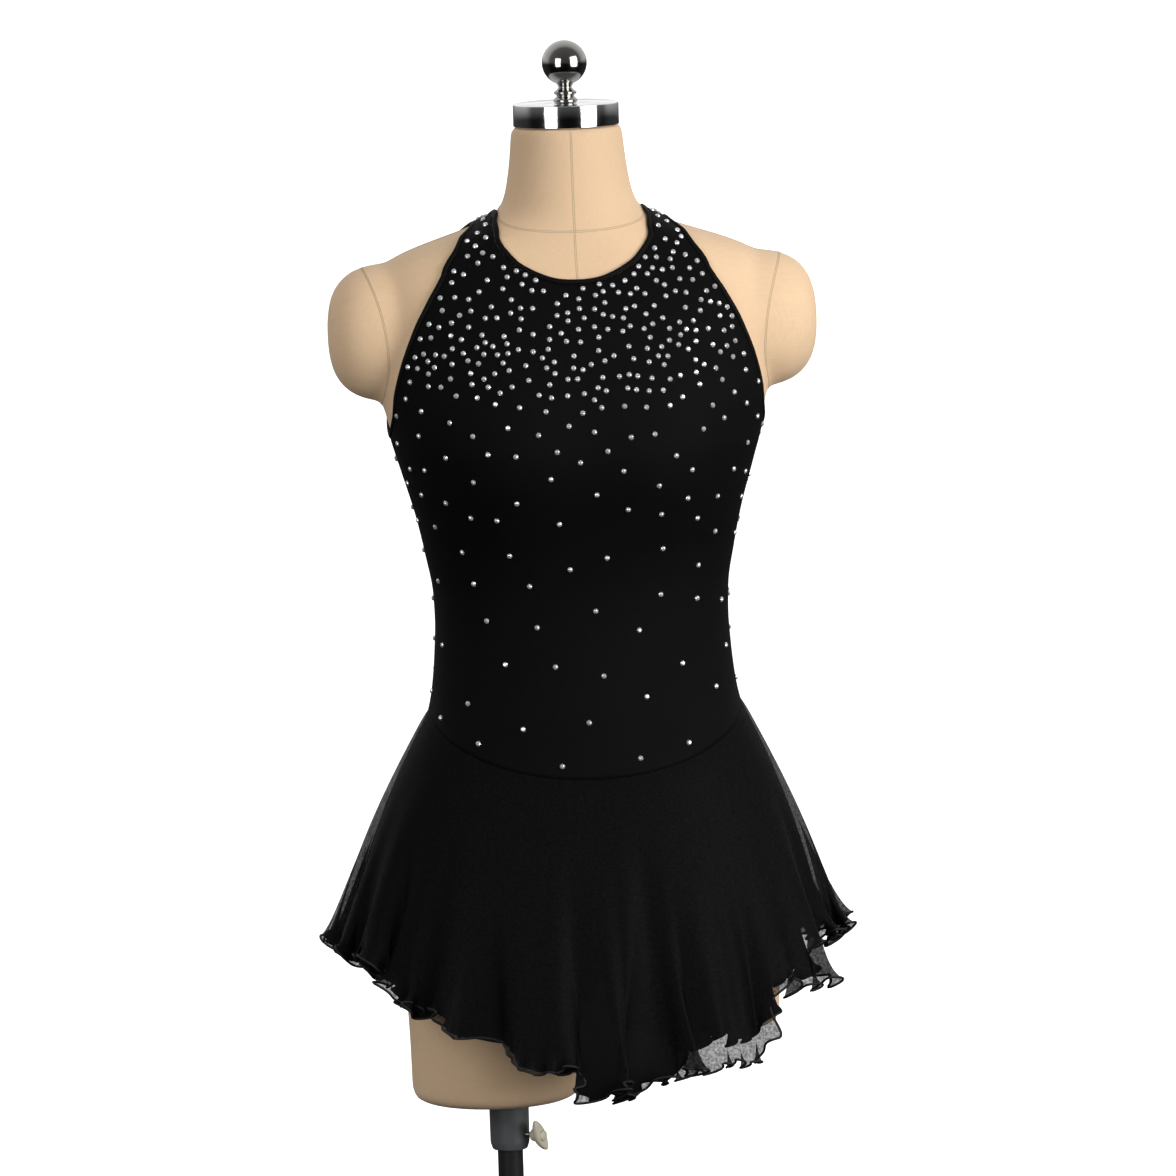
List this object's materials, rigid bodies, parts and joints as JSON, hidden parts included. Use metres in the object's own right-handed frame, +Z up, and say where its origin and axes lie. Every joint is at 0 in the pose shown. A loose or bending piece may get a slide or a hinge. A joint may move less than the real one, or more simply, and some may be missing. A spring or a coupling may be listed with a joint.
{
  "type": "figure skating dress on a limbless dress form",
  "caption": "Sleeveless figure skating dress with a crystal-dotted stretch bodice and double chiffon skirt, worn by a limbless dress form on a pole stand.",
  "frame": {"origin": "centre of the round base's underside, on the pole's axis; the form's own axis is 76.5 mm from it along +X", "axes": "+Z up along the pole, the dress faces -Y, +X is to the right of someone who faces the dress"},
  "size_m": [0.4747, 0.452, 1.3621],
  "materials": {
    "knit": "matte",
    "chiffon": "matte",
    "elastic": "satin",
    "linen": "matte",
    "chrome": "polished",
    "nickel": "polished",
    "black_paint": "satin",
    "grey_plastic": "satin",
    "cream_plastic": "satin"
  },
  "bodies": {
    "stand": {"stand_base": "black_paint", "stand_pole": "black_paint"},
    "form": {"form_body": "linen", "neck_cap": "chrome", "finial": "nickel", "form_collar": "grey_plastic", "bodice_front": "knit", "bodice_back": "knit", "neck_binding": "elastic", "armhole_binding_left": "elastic", "armhole_binding_right": "elastic", "briefs_front": "knit", "briefs_back": "knit", "skirt_outer_front": "chiffon", "skirt_outer_back": "chiffon", "skirt_inner_front": "chiffon", "skirt_inner_back": "chiffon"},
    "knob": {"clamp_knob": "cream_plastic"}
  },
  "joints": [
    {"name": "height_slide", "type": "slide", "parent": "stand", "child": "form", "axis": [0, 0, 1], "range_m": [-0.05, 0.2]},
    {"name": "clamp_turn", "type": "hinge", "parent": "form", "child": "knob", "pos_m": [0, 0, 0.4175], "axis": [0.8192, -0.5736, 0], "range_deg": [0, 270]}
  ]
}
